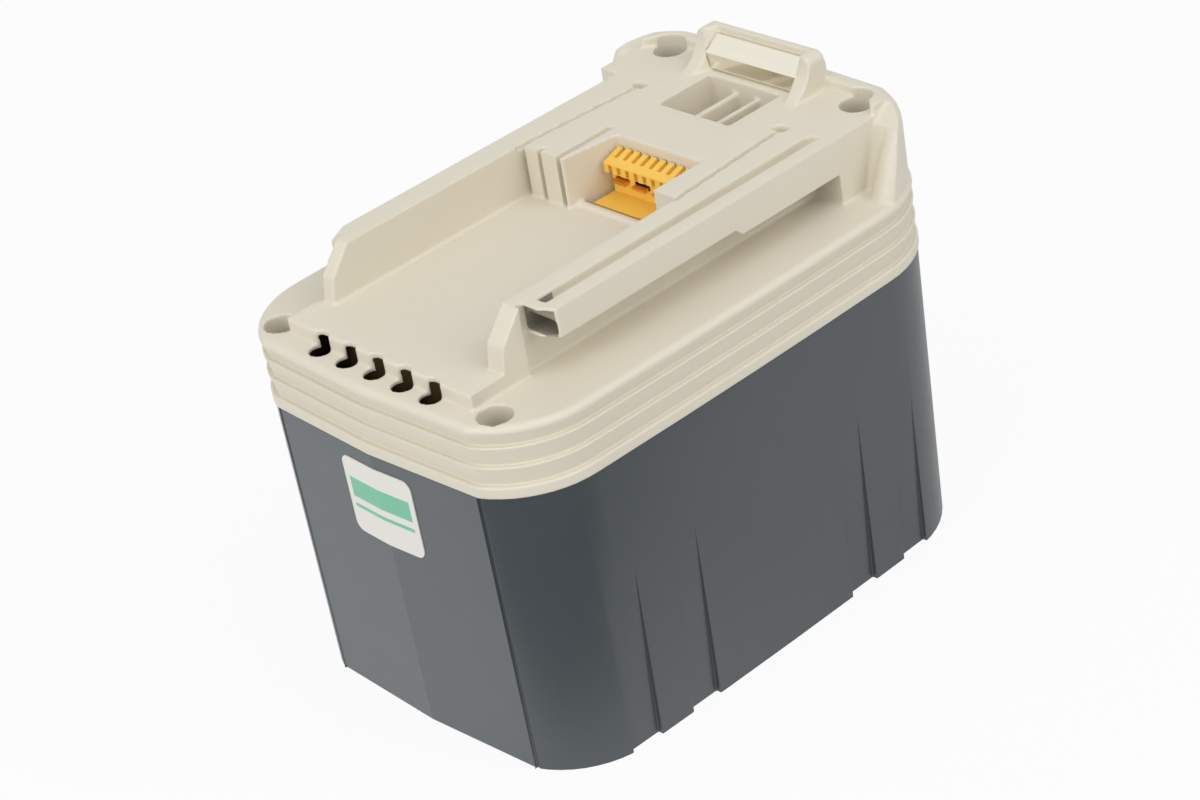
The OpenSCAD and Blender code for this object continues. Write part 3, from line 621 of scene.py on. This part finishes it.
@dataclass(frozen=True)
class SoftBox:
    """Square lamp that faces the pack."""

    name: str
    place: Triple
    size: float
    power: float

    def hang(self) -> None:
        """Add the lamp to the scene."""
        data = bpy.data.lights.new(self.name, "AREA")
        data.size = self.size
        data.energy = self.power
        lamp = bpy.data.objects.new(self.name, data)
        lamp.location = self.place
        lamp.rotation_euler = (-Vector(self.place)).to_track_quat("-Z", "Y").to_euler()
        bpy.context.scene.collection.objects.link(lamp)


@dataclass
class Studio:
    """Camera, light and floor of the photograph."""

    right: Triple = (0.689369, 0.709217, -0.147584)
    down: Triple = (0.281692, -0.450139, -0.847363)
    ahead: Triple = (-0.667398, 0.542573, -0.510093)
    eye: Triple = (0.3955435, -0.3255160, 0.3449156)
    lens: float = 93.53
    sensor: float = 36.0
    nearest: float = 0.01
    ambient: float = 0.48
    lamps: tuple[SoftBox, ...] = (
        SoftBox("front", (0.05, -1.2, 0.6), 0.9, 6.5),
        SoftBox("right", (1.1, 0.3, 0.8), 0.9, 4.5),
        SoftBox("top", (0.4, -0.1, 1.2), 1.0, 3.5),
    )
    floor_size: float = 6.0
    floor_grey: Triple = (0.8, 0.8, 0.8)
    whiteness: float = 0.92
    outward: tuple[float, float] = (0.772, -0.635)
    dusk: tuple[float, float] = (0.075, 0.03)
    side_edge: tuple[float, float] = (0.01, 0.06)
    side_dusk: float = 0.35

    def camera(self) -> None:
        """Set up the camera at the photograph's place."""
        data = bpy.data.cameras.new("camera")
        data.lens = self.lens
        data.sensor_width = self.sensor
        data.clip_start = self.nearest
        camera = bpy.data.objects.new("camera", data)
        rows = zip(self.right, (-part for part in self.down), (-part for part in self.ahead))
        turn = Matrix([list(row) for row in rows]).to_4x4()
        camera.matrix_world = Matrix.Translation(self.eye) @ turn
        bpy.context.scene.collection.objects.link(camera)
        bpy.context.scene.camera = camera

    def seen(self, graph: Graph) -> tuple[Wire, Wire]:
        """Rays that show the background.

        Args:
            graph: Graph that the masks are for.

        Returns:
            Masks of the camera's rays, and of these with the rays from a gloss or through a clear
            material.
        """
        path = graph.tree.nodes.new("ShaderNodeLightPath")
        camera, glossy, clear = (
            Wire(graph, path.outputs[f"Is {kind} Ray"])
            for kind in ("Camera", "Glossy", "Transmission"))
        return camera, camera.math("MAXIMUM", glossy).math("MAXIMUM", clear)

    def world(self) -> None:
        """Soft white light from all round, before a white background."""
        world = bpy.data.worlds.new("studio")
        graph = Graph(world)
        light, white = (
            graph.node("ShaderNodeBackground", {"Color": WHITE, "Strength": strength})
            for strength in (self.ambient, 1.0))
        shown = self.seen(graph)[1]
        graph.close(graph.node("ShaderNodeMixShader", {0: shown, 1: light, 2: white}))
        bpy.context.scene.world = world

    def floor(self) -> None:
        """White floor with a light shadow of the pack.

        In reflections it falls dark past the front right corner.
        """
        bpy.ops.object.select_all(action="DESELECT")
        bpy.ops.mesh.primitive_plane_add(size=self.floor_size)
        floor = bpy.context.active_object
        floor.name = "floor"
        graph = Graph.of_material("floor")
        across, along, _ = graph.axes(graph.place())
        out = across * self.outward[0] + along * self.outward[1]
        side = along * self.outward[0] - across * self.outward[1]
        near = 1.0 - out.above(*self.dusk)
        grade = near * (1.0 - side.above(*self.side_edge) * self.side_dusk)
        camera, seen = self.seen(graph)
        paint = graph.node("ShaderNodeBsdfDiffuse", {"Color": self.floor_grey})
        dark, white = (
            graph.node("ShaderNodeEmission", {"Color": WHITE, "Strength": strength})
            for strength in (0.0, 1.0))
        lit = camera.math("MAXIMUM", grade)
        glow = graph.node("ShaderNodeMixShader", {0: lit, 1: dark, 2: white})
        graph.close(graph.node(
            "ShaderNodeMixShader", {0: seen * self.whiteness, 1: paint, 2: glow}))
        floor.data.materials.append(graph.owner)
        floor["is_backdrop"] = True

    def build(self) -> None:
        """Put up the whole studio."""
        self.camera()
        for lamp in self.lamps:
            lamp.hang()
        self.world()
        self.floor()
        bpy.context.scene.view_settings.view_transform = "Standard"


ROUNDED = (
    RoundedPart("lower_case", 0.22 * MM, ridges=(0.0,)),
    MeltedPart("top_cap", 0.3 * MM, steps=4),
    RoundedPart("terminal_holder", 0.15 * MM),
    RoundedPart("catch_plate", 0.15 * MM),
    RoundedPart("cap_screws", 0.2 * MM),
)


def main() -> list[list[float]]:
    """Build the looks.

    Returns:
        The CAD model's box, as its lowest and highest corner.
    """
    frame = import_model()
    cad_box = [list(corner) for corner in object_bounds()]
    wardrobe = Wardrobe({row["node"]: row["material_slot"] for row in frame["record"]["subparts"]})
    for name, node in frame["nodes"].items():
        wardrobe.dress(node, wardrobe.slots[name])
        LOG.info("%s wears %s", name, wardrobe.slots[name])
    for part in ROUNDED:
        piece = part.build(frame["nodes"][part.node])
        slot = wardrobe.slots[part.node]
        wardrobe.dress(piece, slot)
        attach(piece, "pack")
        LOG.info("%s has rounded edges: %d faces", part.node, len(piece.data.polygons))
    Studio().build()
    return cad_box


if __name__ == "__main__":
    logging.basicConfig(level=logging.INFO)
    cad = main()
